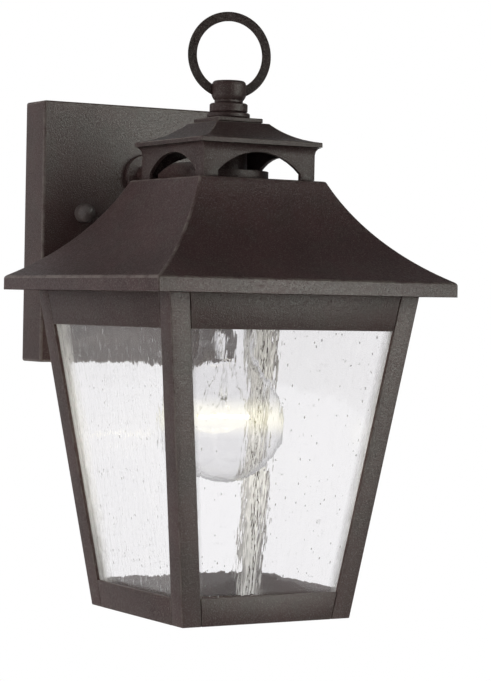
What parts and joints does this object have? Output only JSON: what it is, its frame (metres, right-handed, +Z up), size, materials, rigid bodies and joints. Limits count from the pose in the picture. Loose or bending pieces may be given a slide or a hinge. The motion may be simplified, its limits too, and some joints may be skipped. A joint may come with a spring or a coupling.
{
  "type": "outdoor wall lantern",
  "caption": "Square tapering wall lantern with seeded glass panes, a concave hipped roof, a vented top with a ring finial, and a boxed wall plate.",
  "frame": {"origin": "centre of the mounting strap's back face, on the wall", "axes": "+Z up, +Y into the wall, the lantern stands out towards -Y"},
  "size_m": [0.166, 0.195, 0.299],
  "materials": {
    "cast_bronze_finish": "dark bronze sandy powder coat on cast aluminium",
    "sheet_bronze_finish": "dark bronze sandy powder coat on steel sheet",
    "zinc_plated_steel": "zinc plated",
    "green_screw": "green dyed zinc",
    "seeded_glass": "clear glass with small seeds and fine vertical waves",
    "clear_glass": "clear lamp glass",
    "porcelain": "white glazed porcelain",
    "nickel": "nickel plated",
    "brass": "plain brass"
  },
  "bodies": {
    "lantern": {"roof": "cast_bronze_finish", "cupola_body": "cast_bronze_finish", "cupola_cap": "cast_bronze_finish", "hub": "cast_bronze_finish", "finial_plinth": "cast_bronze_finish", "finial_washer": "cast_bronze_finish", "finial_collar": "cast_bronze_finish", "backplate": "sheet_bronze_finish", "roof_pan": "sheet_bronze_finish", "corner_post_1": "sheet_bronze_finish", "corner_post_2": "sheet_bronze_finish", "corner_post_3": "sheet_bronze_finish", "corner_post_4": "sheet_bronze_finish", "top_rail_front": "sheet_bronze_finish", "top_rail_right": "sheet_bronze_finish", "top_rail_back": "sheet_bronze_finish", "top_rail_left": "sheet_bronze_finish", "bottom_rail_front": "sheet_bronze_finish", "bottom_rail_right": "sheet_bronze_finish", "bottom_rail_back": "sheet_bronze_finish", "bottom_rail_left": "sheet_bronze_finish", "wall_arm": "sheet_bronze_finish", "arm_collar": "sheet_bronze_finish", "mounting_strap": "zinc_plated_steel", "mounting_stud_left": "zinc_plated_steel", "mounting_stud_right": "zinc_plated_steel", "stud_nut_left": "zinc_plated_steel", "stud_nut_right": "zinc_plated_steel", "arm_nut": "zinc_plated_steel", "roof_washer": "zinc_plated_steel", "roof_nut": "zinc_plated_steel", "socket_nut": "zinc_plated_steel", "lamp_nipple": "zinc_plated_steel", "finial_rod": "zinc_plated_steel", "roof_screw_1": "zinc_plated_steel", "roof_screw_2": "zinc_plated_steel", "roof_screw_3": "zinc_plated_steel", "roof_screw_4": "zinc_plated_steel", "pane_clip_front": "zinc_plated_steel", "pane_clip_right": "zinc_plated_steel", "pane_clip_back": "zinc_plated_steel", "pane_clip_left": "zinc_plated_steel", "glass_pane_front": "seeded_glass", "glass_pane_right": "seeded_glass", "glass_pane_back": "seeded_glass", "glass_pane_left": "seeded_glass", "ground_screw": "green_screw", "socket_shell": "nickel", "socket_contact": "brass", "socket_body": "porcelain"},
    "bulb": {"bulb_glass": "clear_glass", "bulb_base": "nickel", "bulb_stem": "clear_glass"},
    "finial": {"finial_knob": "cast_bronze_finish", "finial_ring": "cast_bronze_finish"},
    "cap_nut_left": {"cap_nut_left": "sheet_bronze_finish"},
    "cap_nut_right": {"cap_nut_right": "sheet_bronze_finish"}
  },
  "joints": [
    {"name": "bulb_out", "type": "slide", "parent": "lantern", "child": "bulb", "axis": [0, 0, -1], "range_m": [0, 0.175]},
    {"name": "finial_turn", "type": "hinge", "parent": "lantern", "child": "finial", "pos_m": [0, -0.112, 0.05395], "axis": [0, 0, 1], "continuous": true},
    {"name": "cap_nut_left_turn", "type": "hinge", "parent": "lantern", "child": "cap_nut_left", "pos_m": [-0.035, -0.0221, 0], "axis": [0, -1, 0], "continuous": true},
    {"name": "cap_nut_right_turn", "type": "hinge", "parent": "lantern", "child": "cap_nut_right", "pos_m": [0.035, -0.0221, 0], "axis": [0, -1, 0], "continuous": true}
  ]
}
